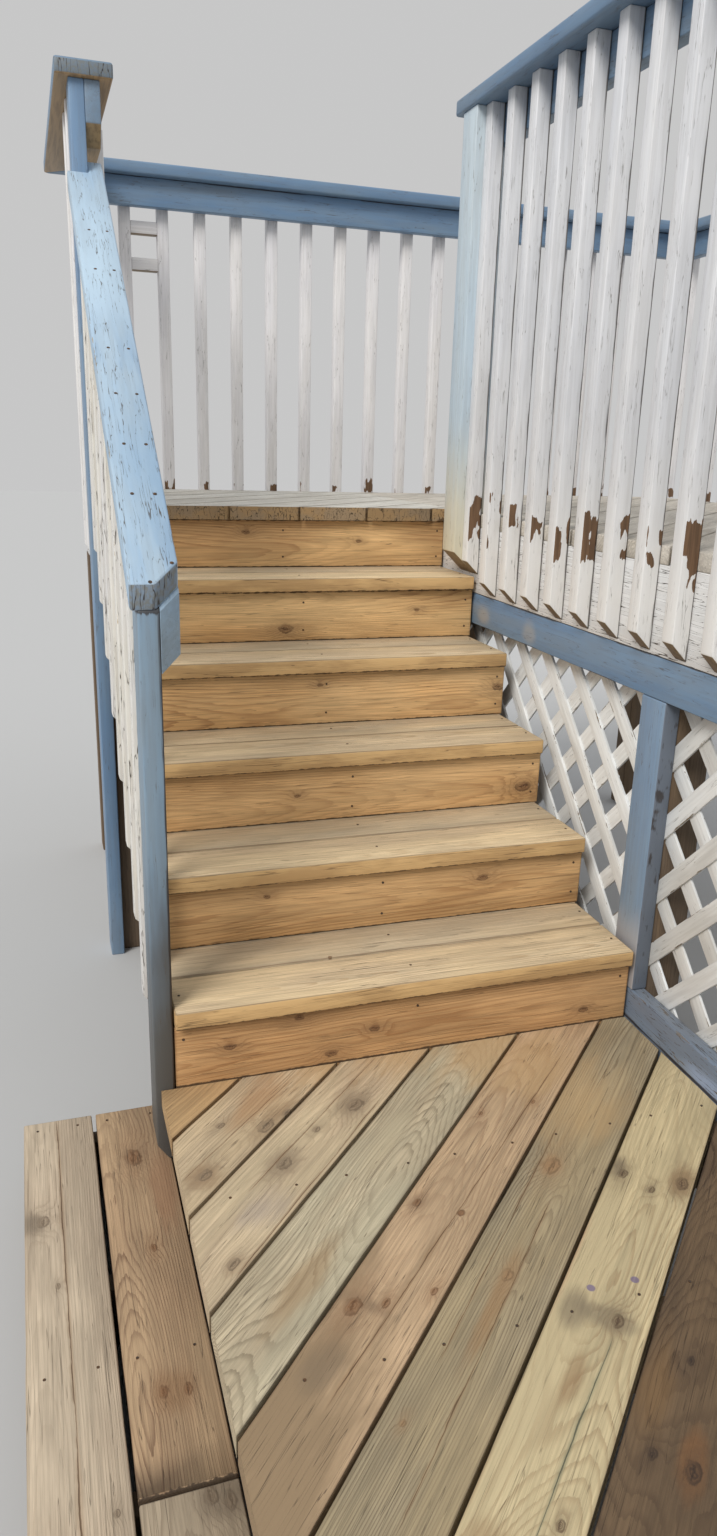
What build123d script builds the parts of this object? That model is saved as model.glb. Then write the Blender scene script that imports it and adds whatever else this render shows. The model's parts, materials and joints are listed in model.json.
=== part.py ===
from build123d import *
import math
import os

# Wooden deck stairs with a lower landing, a side step, an upper deck and its guards.
# Millimetres, +Z up, the floor at Z = 0, origin under the middle of the whole.

# Sawn timber sizes
thick = 38.0
narrow = 89.0
board = 140.0
rim_height = 184.0
stringer_width = 286.0
picket = 38.0
riser_thick = 25.0
cap_width = board

# Clearances
board_gap = 5.0
joint = 0.3
butt_gap = 3.0
seam_gap = 4.0
tread_play = 4.0
wall_gap = 6.0
post_clearance = 5.0

# Stair
stair_width = 1008.0
rise = 174.0
run = 245.0
tread_count = 5
tread_tuck = 21.0
riser_length = stair_width
tread_length = stair_width - tread_play
nosing = 2 * board + board_gap - run - tread_tuck
riser_6_face = tread_count * run
tread_5_front = (tread_count - 1) * run - nosing

# Levels above the floor
step_level = 162.0
landing_level = 2 * step_level
tread_5_top = landing_level + tread_count * rise
deck_level = tread_5_top + rise
guard_height = 1048.0
cap_top = deck_level + guard_height
cap_bottom = cap_top - thick
deck_under = deck_level - thick
rim_bottom = deck_under - rim_height
landing_under = landing_level - thick

# Plan, measured from the left end of the treads and the face of the lowest riser
landing_left = -30.0
landing_front = -1110.0
step_reach = 267.0
step_back = 190.0
step_joint = -694.0
left_plane = -2.0
deck_nosing = 20.0
top_landing_depth = 985.0
side_deck_width = 1386.0
step_left = landing_left - step_reach
deck_edge = riser_6_face - deck_nosing
right_plane = stair_width + wall_gap
far_plane = right_plane + side_deck_width
back_plane = deck_edge + top_landing_depth
front_plane = landing_front

# Guards and rails
picket_pitch = 128.0
foot_drop = 216.0
left_foot_drop = 176.0
rail_above_nosing = 800.0
rail_overhang = 13.0
rail_clip = 45.0
rail_tongue = 48.0
post_setback = 10.0
top_post_front = deck_edge + post_setback
corner_post_setback = 20.0
corner_post_front = riser_6_face - run + corner_post_setback
corner_post_proud = 63.0
corner_post_left = right_plane - corner_post_proud
corner_foot_bevel = 60.0
post_foot = tread_5_top + post_clearance

# Side wall of the stair
base_rise = 70.0
band_top = rim_bottom
band_bottom = band_top - narrow
base_top = landing_level + base_rise
base_bottom = base_top - board
middle_post = -5.0
lattice_post_front = -10.0
slat_width = 40.0
slat_thick = 6.0
lattice_pitch = 152.0

# Whole size, and the shift that puts the origin under its middle
overall_x = far_plane + cap_width / 2 - step_left
overall_y = back_plane - front_plane + cap_width
shift_x = -overall_x / 2 - step_left
shift_y = -overall_y / 2 + cap_width / 2 - front_plane


def save(node, name):
    node.part.label = name
    export_step(node.part, f"parts/{name}.step")


def timbers(name, pieces):
    """Square-cut timbers, each given by its low and high corner."""
    with BuildPart() as node:
        for low, high in pieces:
            x, y, z = low
            with BuildSketch(Plane.XY.offset(z)):
                with Locations((x + shift_x, y + shift_y)):
                    Rectangle(high[0] - x, high[1] - y, align=(Align.MIN, Align.MIN))
            extrude(amount=high[2] - z)
    save(node, name)


def side_outline(x, points):
    """A face in Y and Z, standing at X."""
    with BuildSketch(Plane.YZ.offset(x + shift_x)) as outline:
        with BuildLine():
            Polyline(*[(y + shift_y, z) for y, z in points], close=True)
        make_face()
    return outline.sketch


def side_profiles(name, profiles):
    """Profiles in Y and Z, each extruded along X from its own start."""
    with BuildPart() as node:
        for x, width, points in profiles:
            extrude(side_outline(x, points), amount=width)
    save(node, name)


def front_profiles(name, profiles):
    """Profiles in X and Z, each extruded along +Y from its own start."""
    with BuildPart() as node:
        for y, width, points in profiles:
            with BuildSketch(Plane.XZ.offset(-y - shift_y)):
                with BuildLine():
                    Polyline(*[(x + shift_x, z) for x, z in points], close=True)
                make_face()
            extrude(amount=-width)
    save(node, name)


def plan_profile(name, z, height, points):
    """One flat outline in plan, extruded upwards."""
    with BuildPart() as node:
        with BuildSketch(Plane.XY.offset(z)):
            with BuildLine():
                Polyline(*[(x + shift_x, y + shift_y) for x, y in points], close=True)
            make_face()
        extrude(amount=height)
    save(node, name)


def diagonal_boards(name, x0, x1, y0, y1, top, seam_x, seam_y):
    """Boards laid at 45 degrees and trimmed to a rectangle, with a seam through one point."""
    pitch = (board + board_gap) * math.sqrt(2)
    reach = (x1 - x0) + (y1 - y0)
    seam = seam_x - seam_y
    first = math.floor((x0 - y1 - seam) / pitch) - 1
    last = math.ceil((x1 - y0 - seam) / pitch) + 1
    with BuildPart() as node:
        for i in range(first, last):
            middle = seam + (i + 0.5) * pitch
            if x0 - y1 - pitch / 2 < middle < x1 - y0 + pitch / 2:
                across = (x0 + x1 + y0 + y1) / 2
                mid_x = (across + middle) / 2
                mid_y = (across - middle) / 2
                with BuildSketch(Plane.XY.offset(top - thick)):
                    with Locations((x0 + shift_x, y0 + shift_y)):
                        Rectangle(x1 - x0, y1 - y0, align=(Align.MIN, Align.MIN))
                    with Locations((mid_x + shift_x, mid_y + shift_y)):
                        Rectangle(2 * reach, board, rotation=45, mode=Mode.INTERSECT)
                extrude(amount=thick)
    save(node, name)


def lattice(name, y0, y1, z0, z1, crossing_y, crossing_z, rising_in_front):
    """Two layers of crossing slats behind the wall's posts, trimmed to a rectangle."""
    x = right_plane + thick
    span = (y1 - y0) + (z1 - z0)
    count = math.ceil(2 * span / lattice_pitch)
    layers = ((45, x if rising_in_front else x + slat_thick),
              (-45, x + slat_thick if rising_in_front else x))
    with BuildPart() as node:
        for angle, start in layers:
            with BuildSketch(Plane.YZ.offset(start + shift_x)):
                with Locations(*[(crossing_y + (i + 0.5) * lattice_pitch + shift_y, crossing_z)
                                 for i in range(-count, count)]):
                    Rectangle(2 * span, slat_width, rotation=angle)
                with Locations((y0 + shift_y, z0)):
                    Rectangle(y1 - y0, z1 - z0, align=(Align.MIN, Align.MIN), mode=Mode.INTERSECT)
            extrude(amount=slat_thick)
    save(node, name)


os.makedirs("parts", exist_ok=True)

# Stringers, cut with a seat for each tread
slope = rise / run
stringer_drop = stringer_width * math.hypot(rise, run) / run
seat_y = riser_thick
seat_z = landing_level + rise - thick
top_y = riser_6_face + riser_thick
stringer_outline = [(seat_y, step_level), (seat_y, seat_z)]
for k in range(1, tread_count):
    stringer_outline.append((seat_y + k * run, seat_z + (k - 1) * rise))
    stringer_outline.append((seat_y + k * run, seat_z + k * rise))
stringer_outline.append((top_y, seat_z + (tread_count - 1) * rise))
stringer_outline.append((top_y, seat_z + (top_y - seat_y) * slope - stringer_drop))
stringer_outline.append((seat_y + (step_level - seat_z + stringer_drop) / slope, step_level))
stringer_places = (left_plane, (riser_length - thick) / 2, riser_length - thick)
side_profiles("stringers", [(x, thick, stringer_outline) for x in stringer_places])

# Risers and two-board treads
for k in range(tread_count + 1):
    foot = landing_under if k == 0 else landing_level + k * rise
    head = landing_level + (k + 1) * rise - thick
    face = k * run
    timbers(f"riser_{k + 1}", [((0, face, foot), (riser_length, face + riser_thick, head))])

for k in range(1, tread_count + 1):
    front = (k - 1) * run - nosing
    under = landing_level + k * rise - thick
    second = front + board + board_gap
    timbers(f"tread_{k}", [((0, front, under), (tread_length, front + board, under + thick)),
                           ((0, second, under), (tread_length, second + board, under + thick))])

# Lower landing
landing_seam = 128.6
diagonal_boards("landing_boards", landing_left, right_plane - butt_gap, landing_front, 0,
                landing_level, landing_seam, 0)

frame_left = 8.0
frame_low = landing_under - board
frame_back = riser_thick
landing_frame = [((frame_left, frame_back - thick, frame_low), (right_plane, frame_back, landing_under)),
                 ((frame_left, landing_front, frame_low),
                  (right_plane, landing_front + thick, landing_under)),
                 ((frame_left, landing_front, frame_low), (frame_left + thick, frame_back, landing_under)),
                 ((right_plane - thick, landing_front, frame_low), (right_plane, frame_back, landing_under))]
landing_joists = 2
joist_step = (frame_back - landing_front) / (landing_joists + 1)
for k in range(1, landing_joists + 1):
    y = landing_front + k * joist_step
    landing_frame.append(((frame_left, y, frame_low), (right_plane, y + thick, landing_under)))
for x in (frame_left + thick, right_plane - thick - narrow):
    for y in (landing_front + thick, frame_back - thick - narrow):
        landing_frame.append(((x, y, 0), (x + narrow, y + narrow, landing_under)))
timbers("landing_frame", landing_frame)
timbers("stair_sill", [((left_plane, riser_thick, 0), (riser_length, riser_thick + narrow, step_level))])

# Side step
step_under = step_level - thick
step_seam = step_left + board
step_second = step_seam + board_gap
step_right = step_second + board
timbers("side_step_boards",
        [((step_left, landing_front, step_under), (step_seam, step_back, step_level)),
         ((step_second, step_joint, step_under), (step_right, step_back, step_level)),
         ((step_second, landing_front, step_under), (step_right, step_joint - butt_gap, step_level))])

step_inset = 10.0
cross_count = 4
runner_left = step_left + step_inset
runner_right = step_right - step_inset - thick
step_frame = [((x, landing_front + step_inset, 0), (x + thick, step_back - step_inset, step_under))
              for x in (runner_left, runner_right)]
cross_step = (step_back - landing_front - 2 * step_inset - thick) / (cross_count - 1)
for k in range(cross_count):
    y = landing_front + step_inset + k * cross_step
    step_frame.append(((runner_left, y, 0), (runner_right + thick, y + thick, step_under)))
timbers("side_step_frame", step_frame)

# Upper deck boards
deck_split = right_plane + thick / 2
deck_seam = 341.0
diagonal_boards("top_landing_boards", left_plane, deck_split - seam_gap / 2, deck_edge, back_plane,
                deck_level, deck_seam, deck_edge)
diagonal_boards("side_deck_boards_back", deck_split + seam_gap / 2, far_plane, deck_edge, back_plane,
                deck_level, deck_seam, deck_edge)
diagonal_boards("side_deck_boards_front", right_plane, far_plane, front_plane, deck_edge - seam_gap,
                deck_level, deck_seam, deck_edge)

# Rims and joists of the upper deck
rim_front = front_plane + thick + joint
rim_back = back_plane - thick - joint
stair_rim_back = top_y + thick
timbers("upper_rim_right",
        [((right_plane, rim_front, rim_bottom), (right_plane + thick, rim_back, deck_under))])
timbers("upper_rims",
        [((left_plane, top_y, rim_bottom), (left_plane + thick, rim_back, deck_under)),
         ((left_plane + thick + joint, top_y, rim_bottom), (right_plane - joint, stair_rim_back, deck_under)),
         ((left_plane, back_plane - thick, rim_bottom), (far_plane, back_plane, deck_under)),
         ((far_plane - thick, rim_front, rim_bottom), (far_plane, rim_back, deck_under)),
         ((right_plane, front_plane, rim_bottom), (far_plane, front_plane + thick, deck_under))])

beam_left = right_plane + thick
joists = [((beam_left, rim_front, rim_bottom), (beam_left + thick, rim_back, deck_under))]
side_joist_count = 7
side_joist_step = (back_plane - front_plane) / (side_joist_count + 1)
for k in range(1, side_joist_count + 1):
    y = front_plane + k * side_joist_step
    joists.append(((beam_left + thick + joint, y, rim_bottom),
                   (far_plane - thick - joint, y + thick, deck_under)))
top_joist_count = 2
top_joist_step = (back_plane - stair_rim_back) / (top_joist_count + 1)
for k in range(1, top_joist_count + 1):
    y = stair_rim_back + k * top_joist_step
    joists.append(((left_plane + thick + joint, y, rim_bottom),
                   (right_plane - joint, y + thick, deck_under)))
timbers("upper_joists", joists)

rear_post = top_y - narrow
post_places = [(left_plane, top_y), (left_plane, back_plane - narrow)]
post_places += [(beam_left, y) for y in (front_plane, middle_post, rear_post, back_plane - narrow)]
post_places += [(far_plane - narrow, y) for y in (front_plane, (front_plane + back_plane) / 2,
                                                  back_plane - narrow)]
timbers("deck_posts", [((x, y, 0), (x + narrow, y + narrow, rim_bottom)) for x, y in post_places])

# Stair rail on the left, its handrail notched round the post at the top
outer = left_plane - picket
rail_thick = thick * math.hypot(rise, run) / run
rail_deep = narrow * math.hypot(rise, run) / run


def nosing_line(y):
    return landing_level + rise + (y + nosing) * slope


def rail_under(y):
    return nosing_line(y) + rail_above_nosing - rail_thick


def rail_outline(end, top, bottom):
    """A sloping timber from the newel up to a plumb cut."""
    return [(0, rail_under(0) + bottom), (end, rail_under(end) + bottom),
            (end, rail_under(end) + top), (0, rail_under(0) + top)]


rail_left = outer - rail_overhang
rail_right = left_plane + thick
with BuildPart() as handrail:
    extrude(side_outline(rail_left, rail_outline(top_post_front, rail_thick, 0)),
            amount=rail_right - rail_left)
    extrude(side_outline(left_plane, rail_outline(top_post_front + rail_tongue, rail_thick, 0)),
            amount=thick)
    low_corner = handrail.edges().filter_by(Axis.Z).group_by(Axis.Y)[0].sort_by(Axis.X)[-1]
    chamfer(low_corner, length=rail_clip)
save(handrail, "handrail")

subrail_tip = 1.0
with BuildPart() as subrail:
    extrude(side_outline(left_plane, rail_outline(top_post_front + picket, 0, -rail_deep)), amount=thick)
    low_corner = subrail.edges().filter_by(Axis.Z).group_by(Axis.Y)[0].sort_by(Axis.X)[-1]
    chamfer(low_corner, length=thick - subrail_tip)
save(subrail, "stair_subrail")

newel_bevel = 22.0
newel_bevel_height = 33.0
with BuildPart() as newel:
    extrude(side_outline(outer, [(0, step_level), (narrow, step_level), (narrow, rail_under(narrow)),
                                 (0, rail_under(0))]), amount=picket)
    foot_edge = newel.edges().filter_by(Axis.Y).group_by(Axis.X)[0]
    chamfer(foot_edge, length=newel_bevel, length2=newel_bevel_height)
save(newel, "newel_post")

foot_tip = 4.0
foot_low = landing_level + 75.0
foot_high = tread_5_top + 30.0
first_picket = narrow + picket_pitch - picket
stair_picket_count = int((top_post_front - picket - first_picket) / picket_pitch) + 1
with BuildPart() as stair_pickets:
    for k in range(stair_picket_count):
        y = first_picket + k * picket_pitch
        foot = foot_low + k * (foot_high - foot_low) / (stair_picket_count - 1)
        extrude(side_outline(outer, [(y, foot), (y + picket, foot), (y + picket, rail_under(y + picket)),
                                     (y, rail_under(y))]), amount=picket)
    feet = stair_pickets.edges().filter_by(Axis.Y).group_by(Axis.X)[0]
    chamfer(feet, length=picket - foot_tip)
save(stair_pickets, "stair_balusters")

timbers("top_left_post", [((outer, top_post_front, 0), (left_plane, top_post_front + narrow, cap_bottom))])

# Corner post on the right, notched over the rim
corner_post_right = corner_post_left + narrow
front_profiles("corner_post",
               [(corner_post_front, narrow,
                 [(corner_post_left, post_foot + corner_foot_bevel), (right_plane, post_foot),
                  (right_plane, deck_level), (corner_post_right, deck_level),
                  (corner_post_right, cap_bottom), (corner_post_left, cap_bottom)])])


# Guard balusters, hung on the outer faces of the rims with their feet cut at 45 degrees
def picket_profile(plane, side, foot):
    face = plane + side * picket
    return [(plane, foot), (face, foot + picket), (face, cap_bottom), (plane, cap_bottom)]


def even_starts(low, high):
    """Starts of balusters from one end to the other, near the usual pitch."""
    count = int((high - low - picket) / picket_pitch) + 1
    return [low + k * (high - low - picket) / (count - 1) for k in range(count)]


foot_level = deck_level - foot_drop
right_pickets = []
for k in range(int((corner_post_front - picket - front_plane) / picket_pitch) + 1):
    y = corner_post_front - picket - k * picket_pitch
    foot = post_foot if y + picket > tread_5_front else foot_level
    right_pickets.append((y, picket, picket_profile(right_plane, -1, foot)))
front_profiles("right_guard_balusters", right_pickets)

left_first = top_post_front + narrow + picket_pitch - picket
left_outside = 2
left_pickets = []
for k in range(int((rim_back - picket - left_first) / picket_pitch) + 1):
    y = left_first + k * picket_pitch
    if k < left_outside:
        left_pickets.append((y, picket, picket_profile(left_plane, -1, deck_level - left_foot_drop)))
    else:
        inner = left_plane + thick
        left_pickets.append((y, picket, [(inner, deck_level), (inner + picket, deck_level),
                                         (inner + picket, cap_bottom), (inner, cap_bottom)]))
front_profiles("left_guard_balusters", left_pickets)

back_first = left_plane + 34.0
block_height = 40.0
block_drops = (282.0, 168.0)
with BuildPart() as back_pickets:
    for k in range(int((far_plane - back_first - picket) / picket_pitch) + 1):
        extrude(side_outline(back_first + k * picket_pitch, picket_profile(back_plane, 1, foot_level)),
                amount=picket)
    block_left = back_first + picket_pitch + picket + joint
    block_length = picket_pitch - picket - 2 * joint
    for drop in block_drops:
        with BuildSketch(Plane.XY.offset(cap_bottom - drop)):
            with Locations((block_left + shift_x, back_plane + joint + shift_y)):
                Rectangle(block_length, picket, align=(Align.MIN, Align.MIN))
        extrude(amount=block_height)
save(back_pickets, "back_guard_balusters")

front_profiles("far_guard_balusters", [(y, picket, picket_profile(far_plane, 1, foot_level))
                                       for y in even_starts(front_plane, back_plane)])
side_profiles("front_guard_balusters", [(x, picket, picket_profile(front_plane, -1, foot_level))
                                        for x in even_starts(right_plane, far_plane)])

# Rails under the caps, on the inner faces
rail_low = cap_bottom - narrow
left_rail_low = cap_bottom - board
left_rail_bevel = 46.0
side_profiles("left_guard_rail",
              [(left_plane, thick,
                [(top_post_front, cap_bottom), (top_post_front, left_rail_low + left_rail_bevel),
                 (top_post_front + left_rail_bevel, left_rail_low),
                 (rim_back, left_rail_low), (rim_back, cap_bottom)])])
timbers("back_guard_rail",
        [((left_plane, back_plane - thick, rail_low), (far_plane, back_plane, cap_bottom))])
timbers("far_guard_rail", [((far_plane - thick, rim_front, rail_low), (far_plane, rim_back, cap_bottom))])
timbers("front_guard_rail",
        [((right_plane, front_plane, rail_low), (far_plane, front_plane + thick, cap_bottom))])
timbers("right_guard_rail", [((right_plane, rim_front, rail_low),
                              (right_plane + thick, corner_post_front - joint, cap_bottom))])

# Caps, mitred at the corners
half_cap = cap_width / 2
left_overhang = 15.0
right_overhang = 41.0
left_cap_end = top_post_front - left_overhang
right_cap_end = corner_post_front + narrow + right_overhang
plan_profile("left_guard_cap", cap_bottom, thick,
             [(left_plane - half_cap, left_cap_end), (left_plane + half_cap, left_cap_end),
              (left_plane + half_cap, back_plane - half_cap), (left_plane - half_cap, back_plane + half_cap)])
plan_profile("back_guard_cap", cap_bottom, thick,
             [(left_plane - half_cap, back_plane + half_cap), (left_plane + half_cap, back_plane - half_cap),
              (far_plane - half_cap, back_plane - half_cap), (far_plane + half_cap, back_plane + half_cap)])
plan_profile("far_guard_cap", cap_bottom, thick,
             [(far_plane + half_cap, back_plane + half_cap), (far_plane - half_cap, back_plane - half_cap),
              (far_plane - half_cap, front_plane + half_cap), (far_plane + half_cap, front_plane - half_cap)])
plan_profile("front_guard_cap", cap_bottom, thick,
             [(far_plane + half_cap, front_plane - half_cap), (far_plane - half_cap, front_plane + half_cap),
              (right_plane + half_cap, front_plane + half_cap),
              (right_plane - half_cap, front_plane - half_cap)])
plan_profile("right_guard_cap", cap_bottom, thick,
             [(right_plane - half_cap, front_plane - half_cap),
              (right_plane + half_cap, front_plane + half_cap),
              (right_plane + half_cap, right_cap_end), (right_plane - half_cap, right_cap_end)])

# Closed wall beside the stair
timbers("band_board", [((right_plane, front_plane, band_bottom), (right_plane + thick, top_y, band_top))])
timbers("base_board", [((right_plane, front_plane, base_bottom), (right_plane + thick, top_y, base_top))])
timbers("lattice_posts",
        [((right_plane, y, base_top), (right_plane + thick, y + narrow, band_bottom))
         for y in (front_plane, lattice_post_front, rear_post)])

lattice_tuck_low = 80.0
lattice_tuck_high = 60.0
lattice_low = base_top - lattice_tuck_low
lattice_high = band_bottom + lattice_tuck_high
front_crossing = (middle_post - 72.0, landing_level + 300.0)
rear_crossing = (middle_post + 245.0, landing_level + 597.0)
lattice("lattice_front", front_plane + narrow, middle_post, lattice_low, lattice_high, *front_crossing, False)
lattice("lattice_rear", middle_post + narrow, rear_post, lattice_low, lattice_high, *rear_crossing, True)
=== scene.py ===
import json
import math
import random

import bpy
import numpy as np
from mathutils import Matrix, Vector

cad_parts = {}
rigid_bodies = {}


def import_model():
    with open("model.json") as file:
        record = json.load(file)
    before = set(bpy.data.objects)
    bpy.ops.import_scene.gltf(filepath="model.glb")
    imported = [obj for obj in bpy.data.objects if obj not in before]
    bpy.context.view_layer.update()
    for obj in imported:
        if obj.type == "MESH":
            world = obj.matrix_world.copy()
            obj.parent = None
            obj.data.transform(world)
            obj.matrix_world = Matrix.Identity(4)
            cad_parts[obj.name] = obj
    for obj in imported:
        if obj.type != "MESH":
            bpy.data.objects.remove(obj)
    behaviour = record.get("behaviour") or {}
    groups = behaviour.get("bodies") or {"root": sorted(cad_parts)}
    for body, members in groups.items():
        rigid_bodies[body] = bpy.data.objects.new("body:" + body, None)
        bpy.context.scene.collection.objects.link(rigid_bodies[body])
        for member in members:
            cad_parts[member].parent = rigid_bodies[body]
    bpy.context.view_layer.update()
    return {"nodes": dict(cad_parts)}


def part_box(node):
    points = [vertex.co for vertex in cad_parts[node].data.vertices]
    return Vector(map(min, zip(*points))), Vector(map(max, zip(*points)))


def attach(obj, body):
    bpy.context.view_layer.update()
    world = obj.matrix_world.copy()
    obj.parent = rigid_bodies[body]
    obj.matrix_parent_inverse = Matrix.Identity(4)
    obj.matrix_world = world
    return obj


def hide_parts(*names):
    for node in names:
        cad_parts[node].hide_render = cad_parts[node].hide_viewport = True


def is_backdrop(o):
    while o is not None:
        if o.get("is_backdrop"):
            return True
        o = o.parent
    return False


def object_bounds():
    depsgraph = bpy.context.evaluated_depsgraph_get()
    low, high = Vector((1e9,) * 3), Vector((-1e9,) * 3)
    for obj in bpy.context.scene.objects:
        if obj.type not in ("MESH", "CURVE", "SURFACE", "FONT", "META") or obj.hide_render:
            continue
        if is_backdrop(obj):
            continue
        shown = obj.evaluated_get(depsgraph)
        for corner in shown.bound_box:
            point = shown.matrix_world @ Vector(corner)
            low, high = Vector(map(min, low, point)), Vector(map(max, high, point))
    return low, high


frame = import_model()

# A wooden deck stair in metres: bare treads and risers, weathered landing boards,
# blue-painted posts, rails and caps, white-painted balusters and lattice.

scene = bpy.context.scene
X, Y, Z = Vector((1, 0, 0)), Vector((0, 1, 0)), Vector((0, 0, 1))

# Heights of the upper deck and of the lower landing
deck = 1.368
landing = 0.324

# Timbers with wavy edges are cut across at this pitch first
cut_pitch = 0.06


# Edit-mode help

def pick(piece):
    """Makes one piece the only selected and active one."""
    if bpy.context.object and bpy.context.object.mode != "OBJECT":
        bpy.ops.object.mode_set(mode="OBJECT")
    bpy.ops.object.select_all(action="DESELECT")
    piece.select_set(True)
    bpy.context.view_layer.objects.active = piece


def pick_all(objects):
    """Selects several pieces, the first one active."""
    pick(objects[0])
    for piece in objects[1:]:
        piece.select_set(True)


def timber_copy(name, node):
    """A merged copy of one CAD node, its flat faces whole again."""
    piece = bpy.data.objects.new(name, frame["nodes"][node].data.copy())
    piece.data.name = name
    scene.collection.objects.link(piece)
    pick(piece)
    bpy.ops.object.mode_set(mode="EDIT")
    bpy.ops.mesh.select_all(action="SELECT")
    bpy.ops.mesh.remove_doubles(threshold=0.00001)
    bpy.ops.mesh.dissolve_limited(angle_limit=math.radians(0.5))
    bpy.ops.object.mode_set(mode="OBJECT")
    return piece


def loose_timbers(mesh):
    """The loose solids of a mesh, each as the indices of its vertices."""
    parent = list(range(len(mesh.vertices)))

    def root(i):
        while parent[i] != i:
            parent[i] = parent[parent[i]]
            i = parent[i]
        return i

    for edge in mesh.edges:
        a, b = (root(i) for i in edge.vertices)
        parent[a] = b
    solids = {}
    for i in range(len(mesh.vertices)):
        solids.setdefault(root(i), []).append(i)
    return list(solids.values())


def timber_axes(mesh, solid, along=None):
    """The length, width and thickness directions of one timber, its middle and its half size."""
    inside = set(solid)
    points = [mesh.vertices[i].co for i in solid]
    if along is None:
        edges = [e for e in mesh.edges if e.vertices[0] in inside]
        longest = max(edges, key=lambda e: (mesh.vertices[e.vertices[0]].co
                                            - mesh.vertices[e.vertices[1]].co).length)
        a, b = (mesh.vertices[i].co for i in longest.vertices)
        along = (b - a).normalized()
    along = Vector(along).normalized()
    faces = [f for f in mesh.polygons if f.vertices[0] in inside and abs(f.normal.dot(along)) < 0.1]
    through = max(faces, key=lambda f: f.area).normal.copy()
    through = (through - along * through.dot(along)).normalized()
    across = through.cross(along)
    axes = (along, across, through)
    spans = [[p.dot(axis) for p in points] for axis in axes]
    middle = [(min(s) + max(s)) / 2 for s in spans]
    half = [(max(s) - min(s)) / 2 for s in spans]
    return axes, middle, half


def nearest_timber(points, timbers):
    """Which of the timbers these points belong to, by the middle and half size they span."""
    misses = []
    for axes, middle, half in timbers:
        spans = points @ np.array(axes, np.float32).T
        low, high = spans.min(0), spans.max(0)
        misses.append(((low + high) / 2 - middle) @ ((low + high) / 2 - middle)
                      + ((high - low) / 2 - half) @ ((high - low) / 2 - half))
    return int(np.argmin(misses))


def timber_middle(timber):
    """Where the middle of a timber lies in the shared frame."""
    axes, middle, half = timber
    return Vector([sum(axes[k][i] * middle[k] for k in range(3)) for i in range(3)])


def vertex_points(mesh):
    points = np.zeros(len(mesh.vertices) * 3, np.float32)
    mesh.vertices.foreach_get("co", points)
    return points.reshape(-1, 3)


def lay_grain(piece, timbers, seed):
    """Writes each timber's own coordinates, half size and lot number on its vertices."""
    mesh = piece.data
    draw = random.Random(seed)
    points = vertex_points(mesh)
    grain, half_size, lot = (np.zeros((len(points), 3), np.float32) for _ in range(3))
    for solid in loose_timbers(mesh):
        axes, middle, half = timbers[nearest_timber(points[solid], timbers)]
        grain[solid] = points[solid] @ np.array(axes, np.float32).T - np.array(middle, np.float32)
        half_size[solid] = half
        lot[solid] = [draw.random() for _ in range(3)]
    for title, values in (("grain", grain), ("half size", half_size), ("lot", lot)):
        layer = mesh.attributes.new(title, "FLOAT_VECTOR", "POINT")
        layer.data.foreach_set("vector", values.ravel())


def cross_cut(piece, timbers):
    """Cuts a piece across all along its timbers, so that their edges can wave."""
    direction = timbers[0][0][0].normalized()
    starts, ends = [], []
    for axes, middle, half in timbers:
        place = middle[0] if axes[0].dot(direction) > 0 else -middle[0]
        starts.append(place - half[0])
        ends.append(place + half[0])
    start, end = min(starts), max(ends)
    pick(piece)
    bpy.ops.object.mode_set(mode="EDIT")
    for k in range(1, int((end - start) / cut_pitch)):
        bpy.ops.mesh.select_all(action="SELECT")
        bpy.ops.mesh.bisect(plane_co=direction * (start + k * cut_pitch), plane_no=direction)
    bpy.ops.object.mode_set(mode="OBJECT")


def soften(piece, radius, wave=0.0):
    """Eased edges and a slight waviness that only takes timber away."""
    pick(piece)
    eased = piece.modifiers.new("eased edges", "BEVEL")
    eased.width = radius
    eased.segments = 2
    eased.limit_method = "ANGLE"
    eased.angle_limit = math.radians(25)
    bpy.ops.object.modifier_apply(modifier=eased.name)
    if wave:
        waves = bpy.data.textures.new(piece.name + " waves", "CLOUDS")
        waves.noise_scale = 0.11
        waviness = piece.modifiers.new("waviness", "DISPLACE")
        waviness.texture = waves
        waviness.strength = wave
        waviness.mid_level = 1.0
        waviness.texture_coords = "LOCAL"
        bpy.ops.object.modifier_apply(modifier=waviness.name)
    bpy.ops.object.shade_smooth_by_angle(angle=math.radians(40))


def break_corner(piece, place, outwards):
    """Takes the part outside a sloping plane off the one timber that holds the place."""
    pick(piece)
    nearest = min(piece.data.vertices, key=lambda p: (p.co - Vector(place)).length).index
    bpy.ops.object.mode_set(mode="EDIT")
    bpy.ops.mesh.select_mode(type="VERT")
    bpy.ops.mesh.select_all(action="DESELECT")
    bpy.ops.object.mode_set(mode="OBJECT")
    piece.data.vertices[nearest].select = True
    bpy.ops.object.mode_set(mode="EDIT")
    bpy.ops.mesh.select_linked()
    bpy.ops.mesh.bisect(plane_co=place, plane_no=Vector(outwards).normalized(), use_fill=True,
                        clear_outer=True)
    bpy.ops.object.mode_set(mode="OBJECT")


def dress(name, node, finishes, seed, radius=0.003, along=None, wave=0.0, order=None, broken=()):
    """A softened copy of a CAD node with its timbers' grain laid and their finishes shared out.
    Along is the run of the timbers, wave how far their edges wander, order what they are sorted
    by, and broken the places and planes at which corners have come off."""
    piece = timber_copy(name, node)
    for place, outwards in broken:
        break_corner(piece, place, outwards)
    timbers = [timber_axes(piece.data, solid, along) for solid in loose_timbers(piece.data)]
    if order:
        timbers.sort(key=lambda timber: order(timber_middle(timber)))
    if wave:
        cross_cut(piece, timbers)
    soften(piece, radius, wave)
    lay_grain(piece, timbers, seed)
    share_finishes(piece, timbers, finishes)
    finish_piece(piece, node)


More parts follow.
